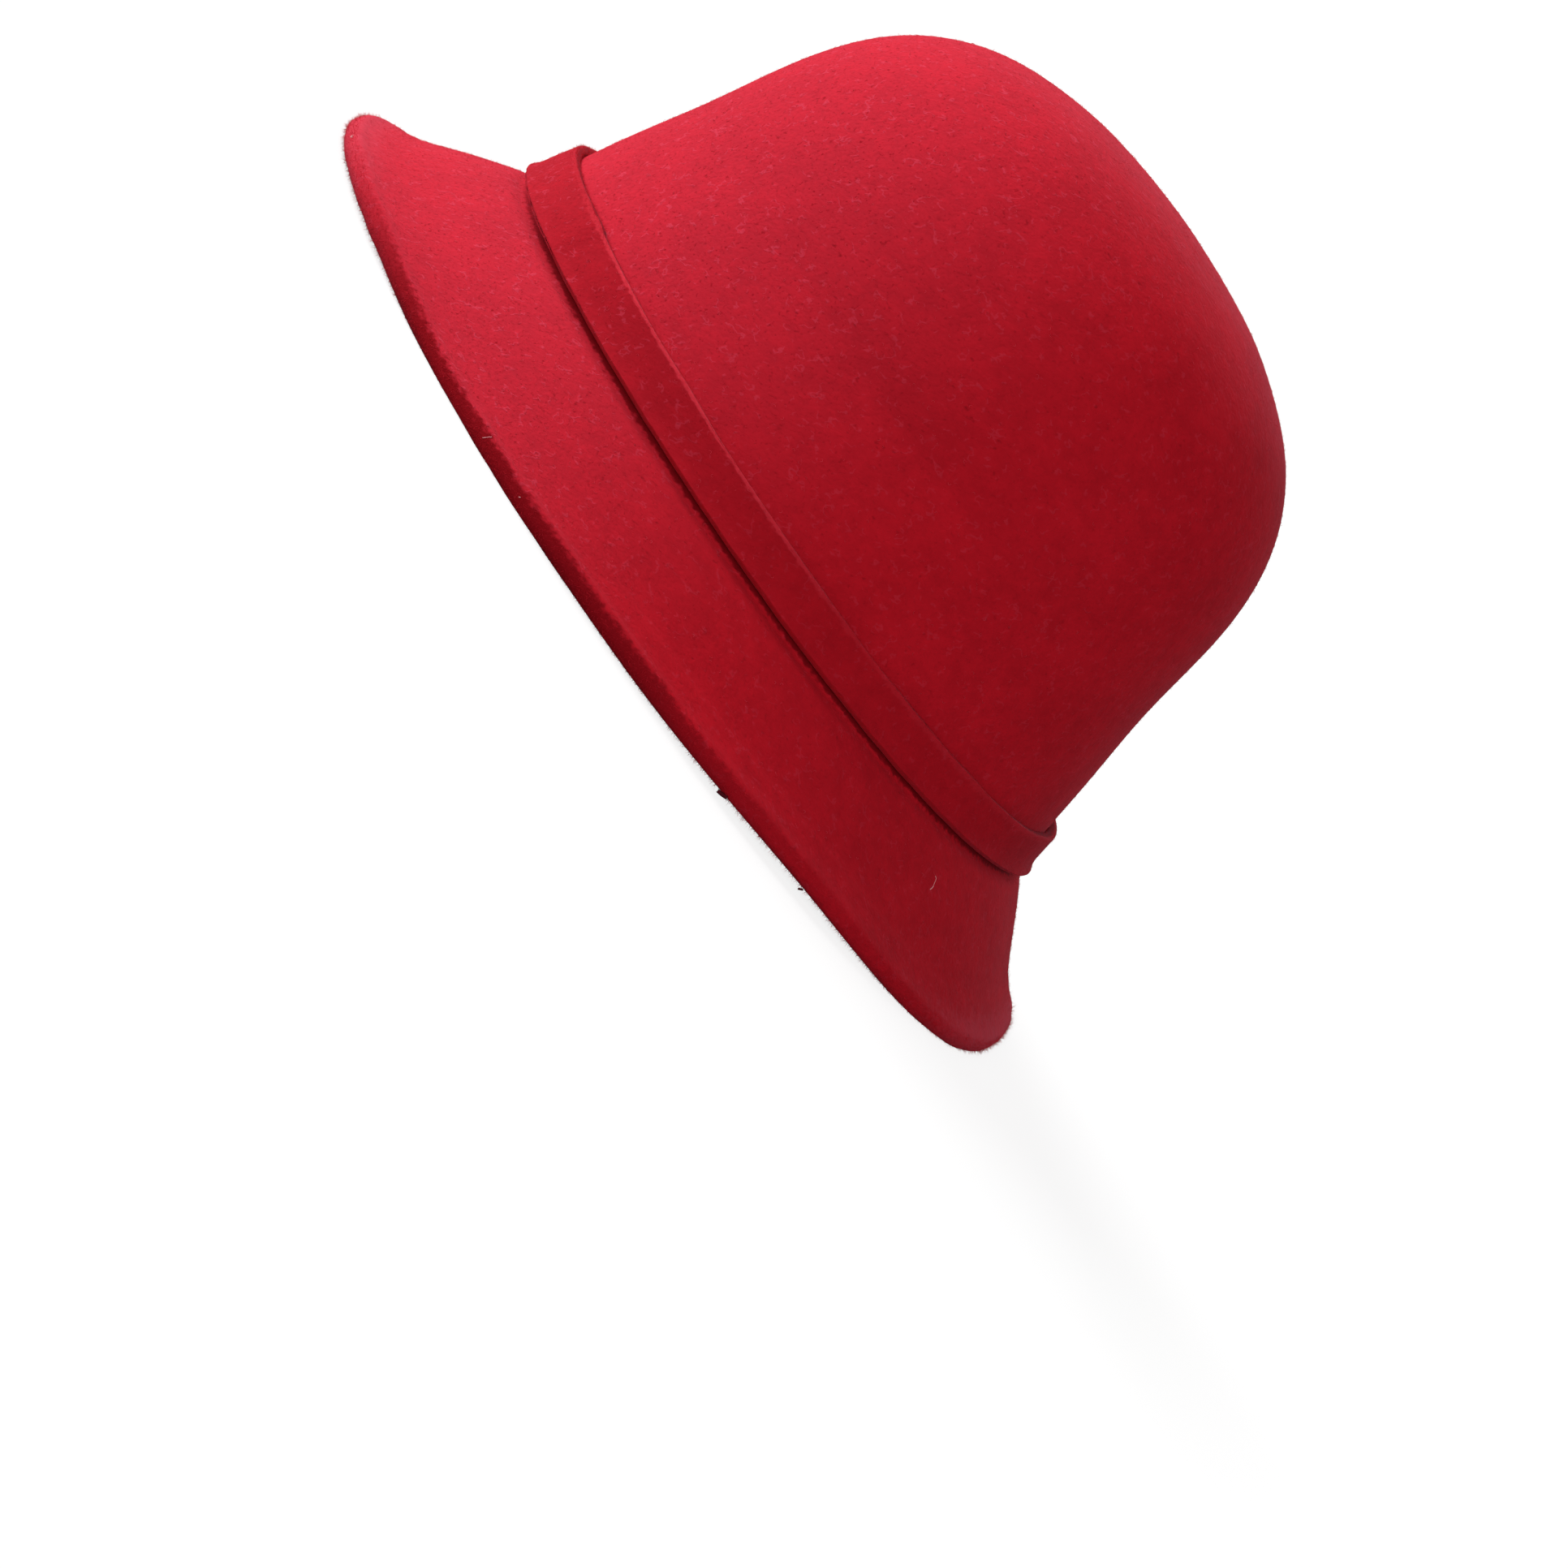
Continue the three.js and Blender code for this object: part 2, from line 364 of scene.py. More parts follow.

# %% [markdown]
# ## Felt as a material
# Wool takes dye evenly, so the felt keeps one colour and only grows deeper or lighter with the
# pattern and with painted light and shade added to it. The lit front gets a painted highlight
# of the pale fibre colour. Some places get painted sheen, highlight or shade: an amount painted
# on the mesh says how far it reaches, a second one how strong it is, and the ragged noise frays
# its border. A weak, rough sheen gives the soft bloom that wool has at a low angle.

# %% What felt materials share
PAINTED_LIGHT, END_SHEEN, UNDER_BAND_SHADE, ROLLED_EDGE_SHADE = "tone", "pale ends", "under band", "rolled edge"
TOP_EDGE_HIGHLIGHT, GAP_SIDE_SHADE = "top edge", "gap side"
SHARE = " share"
DARKEST_GROUND, LIGHTEST_GROUND = 0.38, 0.62
DEEP, LIGHT, PIT = 0.90, 1.10, 0.6
PITS_SHOW, FIBRES_SHOW = 0.7, 0.45
FRAYING = 1.3
TINT_STARTS, TINT_FULL = 0.15, 0.85
RELIEF_DEPTH = 0.35 * MM
FELT_FINISH = {
    "Roughness": 0.95,
    "Specular IOR Level": 0.03,
    "Sheen Weight": 0.07,
    "Sheen Roughness": 0.42,
    "Sheen Tint": (1.0, 0.5, 0.72, 1),
}
FIBRE_FINISH = {"Roughness": 0.9, "Specular IOR Level": 0.1}


def new_material(name, finish):
    material = bpy.data.materials.new(name)
    material.use_nodes = True
    shader = material.node_tree.nodes["Principled BSDF"]
    for title, value in finish.items():
        shader.inputs[title].default_value = value
    return material, material.node_tree, shader


def blend_colours(tree, share, first, second):
    """A colour between two others, each of them three numbers or a socket."""
    # the sockets of the two colours are 6 and 7, and the mixed colour is output 2
    values = {0: share}
    for socket, colour in ((6, first), (7, second)):
        values[socket] = colour if isinstance(colour, bpy.types.NodeSocket) else (*colour, 1)
    return add_node(tree, "ShaderNodeMix", values, data_type="RGBA").outputs[2]


def painted(tree, attribute):
    return add_node(tree, "ShaderNodeAttribute", attribute_name=attribute).outputs["Fac"]


print("tinted places:", [END_SHEEN, UNDER_BAND_SHADE, ROLLED_EDGE_SHADE, TOP_EDGE_HIGHLIGHT, GAP_SIDE_SHADE])


# %% Felt of one colour, with painted light and shade
def ground_colour(tree, felt, middle):
    # painted light and shade are added to the pattern before its contrast is set
    ground_and_painted_light = math_node(tree, "ADD", felt["Ground"], painted(tree, PAINTED_LIGHT))
    values = {0: ground_and_painted_light, 1: DARKEST_GROUND, 2: LIGHTEST_GROUND}
    contrast = add_node(tree, "ShaderNodeMapRange", values).outputs[0]
    deep, light = ([c * share for c in middle] for share in (DEEP, LIGHT))
    return blend_colours(tree, contrast, deep, light)


def tint_mask(tree, felt, attribute):
    frayed = math_node(tree, "MULTIPLY_ADD", felt["Ragged"], FRAYING, painted(tree, attribute))
    reach = soft_ramp(tree, frayed, TINT_STARTS, TINT_FULL)
    return math_node(tree, "MULTIPLY", reach, painted(tree, attribute + SHARE))


def felt_material(name, middle, fibre, relief, front_highlight, painted_light_places):
    """A place of painted light is a painted amount's name and the colour of the painted highlight or shade
    there.
    """
    material, tree, shader = new_material(name, FELT_FINISH)
    felt = add_node(tree, "ShaderNodeGroup", node_tree=felt_group).outputs
    colour = ground_colour(tree, felt, middle)
    pit = [c * PIT for c in middle]
    # the front highlight is painted light: the lit front blends towards the pale fibre colour
    for mask, amount, other in (
        ("Front Highlight", front_highlight, fibre),
        ("Pits", PITS_SHOW, pit),
        ("Fibres", FIBRES_SHOW, fibre),
    ):
        colour = blend_colours(tree, math_node(tree, "MULTIPLY", felt[mask], amount), colour, other)
    # each place gets its painted sheen, highlight or shade
    for attribute, tint in painted_light_places:
        colour = blend_colours(tree, tint_mask(tree, felt, attribute), colour, tint)
    values = {"Height": felt["Height"], "Strength": relief, "Distance": RELIEF_DEPTH}
    bump = add_node(tree, "ShaderNodeBump", values)
    tree.links.new(colour, shader.inputs["Base Color"])
    tree.links.new(bump.outputs[0], shader.inputs["Normal"])
    return material


red_felt = felt_material(
    "red felt",
    (0.575, 0.0090, 0.0200),
    (0.76, 0.070, 0.125),
    relief=0.5,
    # painted highlight at the lit front
    front_highlight=0.21,
    painted_light_places=(
        # painted sheen on the brim's ends
        (END_SHEEN, (0.76, 0.095, 0.145)),
        # painted shade under the band
        (UNDER_BAND_SHADE, (0.22, 0.0037, 0.0076)),
        # painted shade on the rolled edge
        (ROLLED_EDGE_SHADE, (0.28, 0.0045, 0.0095)),
    ),
)
band_felt = felt_material(
    "band felt",
    (0.465, 0.0074, 0.0162),
    (0.66, 0.055, 0.10),
    relief=0.4,
    # painted highlight at the lit front
    front_highlight=0.08,
    # painted highlight on the top edge and painted shade on the side in the gap
    painted_light_places=((TOP_EDGE_HIGHLIGHT, (1.0, 0.062, 0.098)), (GAP_SIDE_SHADE, (0.22, 0.0036, 0.0076))),
)
print("felt materials:", red_felt.name, "and", band_felt.name)


# %% Single fibres
def fibre_material(name, colour):
    return new_material(name, {"Base Color": (*colour, 1), **FIBRE_FINISH})[0]


loose_fibre = fibre_material("loose fibre", (0.62, 0.016, 0.032))
light_fibre = fibre_material("light fibre", (0.70, 0.055, 0.085))
pale_lint = fibre_material("pale lint", (0.90, 0.40, 0.43))
dark_lint = fibre_material("dark lint", (0.10, 0.008, 0.014))
print("materials:", [m.name for m in bpy.data.materials])

# %% [markdown]
# ## From faceted solids to smooth felt
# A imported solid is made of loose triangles. A copy of it is merged, each pair of triangles
# that shares its longest edge becomes one four-sided face again, and two levels of Subdivision
# Surface round it. The cut edge of the hem and the back of the band keep a crease. Rounding
# draws a surface in, so each corner is first pushed out by as much. This way the smooth piece
# follows the solid exactly, and only the fine form is modelled here.

# %% Helpers for meshes
SUBDIVISIONS = 2
POLE_EDGES = 12
SHARP = math.radians(60)
CREASE = 0.75
SAME_PLACE = 0.01 * MM


def mesh_points(mesh):
    points = np.empty(len(mesh.vertices) * 3)
    mesh.vertices.foreach_get("co", points)
    return points.reshape(-1, 3)


def write_points(piece, points):
    piece.data.vertices.foreach_set("co", points.ravel())
    piece.data.update()


def evaluated(piece):
    return piece.evaluated_get(bpy.context.evaluated_depsgraph_get())


def bake_modifiers(piece):
    mesh = bpy.data.meshes.new_from_object(evaluated(piece))
    piece.modifiers.clear()
    piece.data = mesh


def hold_size(piece):
    """Push each corner out by as much as the rounding would draw it in."""
    wanted = mesh_points(piece.data)
    drawn_in = wanted - mesh_points(evaluated(piece).data)[: len(wanted)]
    write_points(piece, wanted + drawn_in)


print("mesh helpers ready")


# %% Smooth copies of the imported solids
def join_quads(bm):
    def longest(face):
        return max(face.edges, key=lambda e: e.calc_length())

    def at_pole(edge):
        return any(len(v.link_edges) > POLE_EDGES for v in edge.verts)

    long_edges = {}
    for face in bm.faces:
        edge = longest(face)
        long_edges[edge] = long_edges.get(edge, 0) + 1
    diagonals = [e for e, count in long_edges.items() if count == 2 and not at_pole(e)]
    bmesh.ops.dissolve_edges(bm, edges=diagonals, use_verts=False)


def merged_mesh(node, name, material):
    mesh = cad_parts[node].data.copy()
    mesh.name = name
    mesh.materials.clear()
    mesh.materials.append(material)
    bm = bmesh.new()
    bm.from_mesh(mesh)
    bmesh.ops.remove_doubles(bm, verts=bm.verts, dist=SAME_PLACE)
    join_quads(bm)
    crease = bm.edges.layers.float.new("crease_edge")
    for edge in bm.edges:
        if len(edge.link_faces) == 2 and edge.calc_face_angle() > SHARP:
            edge[crease] = CREASE
    for face in bm.faces:
        face.smooth = True
    bm.to_mesh(mesh)
    bm.free()
    return mesh


def smooth_copy(node, name, material):
    piece = bpy.data.objects.new(name, merged_mesh(node, name, material))
    scene.collection.objects.link(piece)
    rounding = piece.modifiers.new("rounding", "SUBSURF")
    rounding.levels = rounding.render_levels = SUBDIVISIONS
    before = len(piece.data.polygons)
    hold_size(piece)
    bake_modifiers(piece)
    print(name, "from", before, "to", len(piece.data.polygons), "faces")
    return piece


hat = smooth_copy("felt_body", "felt_hat", red_felt)
band = smooth_copy("band", "felt_band", band_felt)

# %% [markdown]
# ## Reading the points of a mesh
# The fine form is a set of small moves of the outer face along its own normal. Each move is
# an amount in metres for every point, worked out from where the point is: its height above the
# break, its direction round the hat in degrees from the front, and its distance from the
# brim's edge. A soft step or a hill over one of these says where a move or a colour applies.

# %% Points, directions and soft steps
NOISE_SHIFT = (1.7, 2.3, 3.1)
FACES_IN, FACES_OUT = -0.5, 0.1
NEVER_ZERO = 1e-9


def read_points(piece):
    normals = np.empty(len(piece.data.vertices) * 3)
    piece.data.vertices.foreach_get("normal", normals)
    return mesh_points(piece.data), normals.reshape(-1, 3)


def soft_step(values, start, end):
    share = np.clip((values - start) / (end - start), 0, 1)
    return share * share * (3 - 2 * share)


def hill(values, middle, width):
    return np.exp(-(((values - middle) / width) ** 2))


def soft_noise(points, size, seed):
    shift = Vector([seed * amount for amount in NOISE_SHIFT])
    return np.array([noise.noise(Vector(p) / size + shift) for p in points])


def turn_from_front(points):
    return np.arctan2(points[:, 0], -(points[:, 1] - oval_middle.y))


def direction_from_front(points):
    return np.degrees(turn_from_front(points))


def outer_share(points, normals):
    from_axis = points - np.array(oval_middle)
    from_axis[:, 2] = 0
    from_axis /= np.maximum(np.linalg.norm(from_axis, axis=1, keepdims=True), NEVER_ZERO)
    outwards = (normals * from_axis).sum(1) + normals[:, 2]
    return soft_step(outwards, FACES_IN, FACES_OUT)


hat_points, hat_normals = read_points(hat)
outer = outer_share(hat_points, hat_normals)
is_outer = outer > 0.5
height = hat_points[:, 2] - break_level
direction = direction_from_front(hat_points)
print("outer points:", int(is_outer.sum()), "of", len(outer))

# %% Distance from the brim's edge
SECTORS = 256


def sectors_of(share_of_turn):
    """The narrow sector of the hat that a direction lies in, given as a share of a full turn."""
    return np.round((share_of_turn + 0.5) * SECTORS).astype(int) % SECTORS


def reach_of(points):
    return np.linalg.norm(points[:, :2] - np.array(oval_middle)[:2], axis=1)


def farthest_in_sector(sectors, reach):
    farthest = np.zeros(SECTORS)
    np.maximum.at(farthest, sectors, reach)
    return farthest


def distance_from_edge(points):
    reach = reach_of(points)
    sectors = sectors_of(turn_from_front(points) / (2 * math.pi))
    edge_height = np.zeros(SECTORS)
    order = np.argsort(reach)
    edge_height[sectors[order]] = points[order, 2]
    inwards = farthest_in_sector(sectors, reach)[sectors] - reach
    return np.hypot(inwards, points[:, 2] - edge_height[sectors])


from_edge = distance_from_edge(hat_points)
print("farthest from the edge:", round(float(from_edge.max() / MM), 1), "mm")

# %% [markdown]
# ## The blocked felt
# Seen close, the hat isn't a perfect dome. Over the hem the brim is a touch thicker, with a
# faint line where the turned-under felt ends, and its rolled edge has a blunt upper corner
# that gets rounder towards the back. On the left of the crown, about 47 mm above the break,
# there is a soft level line, as if pressed. In front the middle of the brim swells a little.
# The whole surface rolls by a few tenths of a millimetre.

# %% Sizes of the fine form
BRIM_BELOW = -0.5 * MM
HEM_DEPTH = 11 * MM
HEM_RISE = 0.3 * MM
HEM_FADES = (HEM_DEPTH - 1.2 * MM, HEM_DEPTH + 0.8 * MM)
CORNER_FROM_EDGE = 2.7 * MM
CORNER_WIDTH = 1.2 * MM
CORNER_RISE = 0.4 * MM
CORNER_FACES_UP = (0.1, 0.6)
SWELL_RISE = 0.3 * MM
SWELL_FROM_EDGE = 24 * MM
SWELL_WIDTH = 9 * MM
SWELL_FADES = (35, 75)
PRESS_HEIGHT = 47.4 * MM
PRESS_DEPTH = 0.35 * MM
PRESS_WIDTH = 5 * MM
PRESS_FROM, PRESS_TO, PRESS_FADE = 40, 125, 20
ROLL_SIZE = 30 * MM
ROLL_DEPTH = 0.35 * MM
EDGE_ROLL_SIZE = 9 * MM
EDGE_ROLL_DEPTH = 0.25 * MM
EDGE_ROLL_FADES = (2 * MM, 9 * MM)
EDGE_ROUNDS = (85, 130)
EDGE_KEEPS = 0.1
print("hem", HEM_DEPTH / MM, "mm deep, pressed line", PRESS_HEIGHT / MM, "mm above the break")


# %% Fine form of the hat
def blunt_edge():
    """1 where the brim's edge is blunt and gets painted shade below, falling off to the round edge at the
    back.
    """
    return 1 - (1 - EDGE_KEEPS) * soft_step(np.abs(direction), *EDGE_ROUNDS)


def pressed_stretch():
    starts = soft_step(direction, PRESS_FROM, PRESS_FROM + PRESS_FADE)
    return starts * (1 - soft_step(direction, PRESS_TO - PRESS_FADE, PRESS_TO))


def hat_moves():
    on_brim = height < BRIM_BELOW
    hem = HEM_RISE * (1 - soft_step(from_edge, *HEM_FADES)) * on_brim
    corner = CORNER_RISE * hill(from_edge, CORNER_FROM_EDGE, CORNER_WIDTH) * on_brim
    corner = corner * soft_step(hat_normals[:, 2], *CORNER_FACES_UP) * blunt_edge()
    swell = SWELL_RISE * hill(from_edge, SWELL_FROM_EDGE, SWELL_WIDTH) * on_brim
    swell = swell * (1 - soft_step(np.abs(direction), *SWELL_FADES))
    press = -PRESS_DEPTH * np.exp(-np.abs(height - PRESS_HEIGHT) / PRESS_WIDTH) * pressed_stretch()
    rolling = ROLL_DEPTH * soft_noise(hat_points, ROLL_SIZE, seed=1)
    near_edge = 1 - soft_step(from_edge, *EDGE_ROLL_FADES)
    ragged = EDGE_ROLL_DEPTH * near_edge * soft_noise(hat_points, EDGE_ROLL_SIZE, seed=2)
    return outer * (hem + corner + swell + press + rolling + ragged)


def press_on_floor(points):
    points[:, 2] = np.maximum(points[:, 2], 0)


moves = hat_moves()
hat_points += hat_normals * moves[:, None]
press_on_floor(hat_points)
write_points(hat, hat_points)
print("largest move", round(float(np.abs(moves).max() / MM), 2), "mm")

# %% [markdown]
# ## The top of the crown
# Subdivision leaves a small peak where all the lines meet at the top. The real dome is round
# there, so the points near the top are laid on one smooth bowl, fitted to a ring round them.

# %% Round off the top
TOP_REACH = 16 * MM
RING_FROM, RING_TO = 0.6 * TOP_REACH, 1.4 * TOP_REACH
BOWL_UP_TO = 0.5 * TOP_REACH
HIGH_ON_CROWN = 0.6


def round_top(points):
    above = height > HIGH_ON_CROWN * (crown_top - break_level)
    peak = points[above & is_outer]
    centre = peak[np.argmax(peak[:, 2])][:2]
    reach = np.linalg.norm(points[:, :2] - centre, axis=1)
    for face in (is_outer, ~is_outer):
        ring = above & face & (reach > RING_FROM) & (reach < RING_TO)
        bowl = np.polyfit(reach[ring] ** 2, points[ring, 2], 1)
        near = above & face & (reach < TOP_REACH)
        keep = soft_step(reach[near], BOWL_UP_TO, TOP_REACH)
        smooth = np.polyval(bowl, reach[near] ** 2)
        points[near, 2] = keep * points[near, 2] + (1 - keep) * smooth


round_top(hat_points)
write_points(hat, hat_points)
print("top at", round(float(hat_points[:, 2].max() / MM), 1), "mm")

# %% [markdown]
# ## The band
# The band is a strip laid round the crown. Its two ends lap on the left, a little behind the
# front: the front end lies over the other, which leaves a faint step across the strip. Its
# edges are cut, so they are soft and not quite straight, and in front it stands off a little.

# %% Fine form of the band
LAP_DIRECTION, LAP_FADE, LAP_EDGE = 33, 24, 0.8
LAP_STEP = 0.4 * MM
STANDS_OFF = 0.7 * MM
STANDS_OFF_HEIGHT = 6 * MM
STANDS_OFF_WIDTH = 7 * MM
STANDS_OFF_FADES = (20, 60)
BAND_ROLL_SIZE = 14 * MM
BAND_ROLL_DEPTH = 0.25 * MM
CUT_SIZE = 7 * MM
CUT_DEPTH = 0.12 * MM
band_points, band_normals = read_points(band)


def band_moves():
    turn = direction_from_front(band_points)
    raised = soft_step(turn, LAP_DIRECTION - LAP_FADE, LAP_DIRECTION)
    raised *= 1 - soft_step(turn, LAP_DIRECTION, LAP_DIRECTION + LAP_EDGE)
    rolling = BAND_ROLL_DEPTH * soft_noise(band_points, BAND_ROLL_SIZE, seed=5)
    off = hill(band_points[:, 2] - break_level, STANDS_OFF_HEIGHT, STANDS_OFF_WIDTH)
    off = off * (1 - soft_step(np.abs(turn), *STANDS_OFF_FADES))
    return outer_share(band_points, band_normals) * (LAP_STEP * raised + rolling + STANDS_OFF * off)


band_points += band_normals * band_moves()[:, None]
band_points[:, 2] += CUT_DEPTH * soft_noise(band_points, CUT_SIZE, seed=8)
write_points(band, band_points)
print("band points:", len(band_points))

# %% [markdown]
# ## Amounts painted on the hat
# The materials and the naps read amounts that are painted on the points, from 0 to 1. Painted
# light and shade lighten or darken the felt: painted shading across the pressed line, a painted
# highlight at the hem's end, a painted light line below the band and painted shade above it
# towards the back. The brim's ends get painted sheen, the felt under the band gets painted
# shade, and so does the brim's edge where it rolls down. The last amounts say how thick each nap grows.

# %% Painted light and shade of the hat
PRESS_SHADING, PRESS_TONE_FADE, PRESS_TONE_TURN = 0.06, 6 * MM, 1 * MM
HEM_HIGHLIGHT, HEM_LINE_WIDTH = 0.06, 0.7 * MM
BELOW_BAND_LIGHT, BELOW_BAND_HEIGHT, BELOW_BAND_WIDTH = 0.10, -2 * MM, 0.8 * MM
BELOW_BAND_FROM = (30, 60)
ABOVE_BAND_SHADE, ABOVE_BAND_FADE = 0.06, 2.5 * MM
ABOVE_BAND_FROM = (65, 110)
BAND_TOP, BAND_TIP = 12.5 * MM, 1.15 * MM


def paint(piece, name, amounts):
    attribute = piece.data.attributes.new(name, "FLOAT", "POINT")
    every_point = np.broadcast_to(amounts, len(piece.data.vertices))
    attribute.data.foreach_set("value", every_point.astype(np.float32))


# Painted shading across the pressed line, a painted highlight at the hem's end, a painted light line below
# the band and painted shade above it towards the back.
def hat_painted_light(high):
    from_press = high - PRESS_HEIGHT
    press = np.exp(-np.abs(from_press) / PRESS_TONE_FADE) * -np.tanh(from_press / PRESS_TONE_TURN)
    press *= pressed_stretch()
    hem = hill(from_edge, HEM_DEPTH, HEM_LINE_WIDTH) * (high < 0)
    below = hill(high, BELOW_BAND_HEIGHT, BELOW_BAND_WIDTH)
    below = below * soft_step(np.abs(direction), *BELOW_BAND_FROM)
    above = np.exp(-np.clip(high - BAND_TOP, 0, None) / ABOVE_BAND_FADE) * (high > 0)
    above = above * soft_step(direction, *ABOVE_BAND_FROM)
    return PRESS_SHADING * press + HEM_HIGHLIGHT * hem + BELOW_BAND_LIGHT * below - ABOVE_BAND_SHADE * above


hat_points, hat_normals = read_points(hat)
hat_high = hat_points[:, 2] - break_level
hat_side = np.abs(direction)
tone = hat_painted_light(hat_high)
paint(hat, PAINTED_LIGHT, tone * is_outer)
print(f"tone from {tone.min():.2f} to {tone.max():.2f}")

# %% Painted sheen and shade of the hat
FRONT_END, BACK_END = (5, 40), (135, 165)
END_SHEEN_FADES = (1 * MM, 15 * MM)
END_SHEEN_SHARE = 0.3
SHADE_STARTS, SHADE_FULL = -1.15 * MM, 0.4 * MM
BAND_COVERS = (8 * MM, 9 * MM)
SHADE_AT_FRONT, SHADE_GROWS = 0.4, (5, 45)
UPPER_ROLL_FADES = (0.5 * MM, 3.7 * MM)
LOWER_ROLL_FADES = (4 * MM, 6 * MM)
ROLL_SHADE_FROM = (12, 50)


def paint_tint(piece, name, reach, share):
    paint(piece, name, reach)
    paint(piece, name + SHARE, share)


# Painted sheen: the brim's front and back ends are painted paler near the edge.
ends = np.maximum(1 - soft_step(hat_side, *FRONT_END), soft_step(hat_side, *BACK_END))
painted_end_sheen = ends * (1 - soft_step(from_edge, *END_SHEEN_FADES)) * is_outer
paint_tint(hat, END_SHEEN, painted_end_sheen, END_SHEEN_SHARE * painted_end_sheen)
# Painted shade under the band, weaker at the front.
painted_under_band_shade = soft_step(hat_high, SHADE_STARTS, SHADE_FULL) * (1 - soft_step(hat_high, *BAND_COVERS))
side_shade = SHADE_AT_FRONT + (1 - SHADE_AT_FRONT) * soft_step(hat_side, *SHADE_GROWS)
paint_tint(hat, UNDER_BAND_SHADE, painted_under_band_shade * is_outer, side_shade)
# Painted shade on the rolled edge's face and underside, fading towards the front and the back.
upper_roll = 1 - soft_step(from_edge, *UPPER_ROLL_FADES)
lower_roll = (hat_normals[:, 2] < 0) * (1 - soft_step(from_edge, *LOWER_ROLL_FADES))
roll_shade = soft_step(hat_side, *ROLL_SHADE_FROM) * blunt_edge()
paint_tint(hat, ROLLED_EDGE_SHADE, np.maximum(upper_roll, lower_roll), roll_shade)
print("tinted points:", [int((a > 0).sum()) for a in (painted_end_sheen, painted_under_band_shade, upper_roll)])

# %% Nap amounts of the hat
CROWN_NAP, BRIM_NAP, EDGE_NAP, CURLS = "crown nap", "brim nap", "edge nap", "curls"
ABOVE_BAND = (11.5 * MM, 14 * MM)
BELOW_BAND = (-1.4 * MM, 0.2 * MM)
BRIM_NAP_FROM_EDGE = (3 * MM, 5 * MM)
EDGE_NAP_FADES = (4 * MM, 6 * MM)
EDGE_NAP_BELOW = 0.75
CURLS_FROM_EDGE = (2 * MM, 4 * MM)
FEWEST_CURLS = 0.2
CURLS_THICKEN = (-30 * MM, 80 * MM)


def curls_at(points):
    """Curls are thickest at the front of the hat."""
    forward = soft_step(oval_middle.y - points[:, 1], *CURLS_THICKEN)
    return FEWEST_CURLS + (1 - FEWEST_CURLS) * forward


above_band = soft_step(hat_high, *ABOVE_BAND)
below_band = 1 - soft_step(hat_high, *BELOW_BAND)
paint(hat, CROWN_NAP, outer * above_band)
paint(hat, BRIM_NAP, outer * below_band * soft_step(from_edge, *BRIM_NAP_FROM_EDGE))
edge_nap = 1 - soft_step(from_edge, *EDGE_NAP_FADES)
paint(hat, EDGE_NAP, edge_nap * (hat_normals[:, 2] < EDGE_NAP_BELOW))
visible = outer * np.maximum(above_band, below_band) * soft_step(from_edge, *CURLS_FROM_EDGE)
paint(hat, CURLS, visible * curls_at(hat_points))
print("nap amounts:", [CROWN_NAP, BRIM_NAP, EDGE_NAP, CURLS])

# %% [markdown]
# ## Amounts painted on the band
# The band's cut top edge gets a painted highlight, a thin pale line along the left side. The
# side that faces the crown gets painted shade in the gap. Painted light and shade make the strip
# a little darker in front and lighter at the back and along its flared lower edge.

# %% Paint the band
BAND_NAP, BAND_TOP_NAP = "band nap", "band top"
TOP_STRIP = 2 * MM
TOP_EDGE_HEIGHT = 0.7 * MM
TOP_EDGE_FADES = (0.9 * MM, 1.6 * MM)
TOP_EDGE_LEAST, TOP_EDGE_MORE, TOP_EDGE_GROWS = 0.1, 0.38, (20, 45)
GAP_STARTS = (0.9 * MM, 1.8 * MM)
GAP_SHADE_SHARE = 0.8
LOW_EDGE = (0.6 * MM, 2.2 * MM)
LOW_EDGE_LIGHT = 0.12
BAND_BACK_LIGHT, BAND_FRONT_SHADE, BAND_TURNS = 0.10, -0.05, (60, 110)
BAND_BACK = (70, 115)
BACK_NAP_LOST = 0.9

band_outwards = outer_share(band_points, band_normals)
band_height = band_points[:, 2] - break_level
band_turn = direction_from_front(band_points)
band_side = np.abs(band_turn)
band_level = BAND_TOP + BAND_TIP * np.cos(np.radians(band_turn))
near_top = band_height > band_level - TOP_STRIP
reach = reach_of(band_points)
sectors = sectors_of(band_turn / 360)
inwards = farthest_in_sector(sectors[near_top], reach[near_top])[sectors] - reach
toward_back = soft_step(band_side, *BAND_BACK)
top_edge = soft_step(band_height, band_level - TOP_EDGE_HEIGHT, band_level)
low_edge = 1 - soft_step(band_height, *LOW_EDGE)
# Painted light and shade on the band: darker in front, lighter at the back and along the lower edge.
band_painted_light = BAND_BACK_LIGHT * soft_step(band_side, *BAND_TURNS) + BAND_FRONT_SHADE
top_highlight_share = TOP_EDGE_MORE * soft_step(band_side, *TOP_EDGE_GROWS) * (1 - toward_back)
paint(band, BAND_NAP, band_outwards)
paint(band, PAINTED_LIGHT, band_painted_light + LOW_EDGE_LIGHT * low_edge)
# painted highlight along the top edge, strongest along the sides, none at the back
paint_tint(band, TOP_EDGE_HIGHLIGHT, top_edge * (1 - soft_step(inwards, *TOP_EDGE_FADES)), TOP_EDGE_LEAST + top_highlight_share)
# painted shade on the side that faces the crown
paint_tint(band, GAP_SIDE_SHADE, near_top * soft_step(inwards, *GAP_STARTS), GAP_SHADE_SHARE)
paint(band, BAND_TOP_NAP, top_edge * (1 - BACK_NAP_LOST * toward_back))
paint(band, CURLS, band_outwards * curls_at(band_points))
amount_names = {a.name for piece in (hat, band) for a in piece.data.attributes if a.data_type == "FLOAT"}
print("painted:", sorted(amount_names))

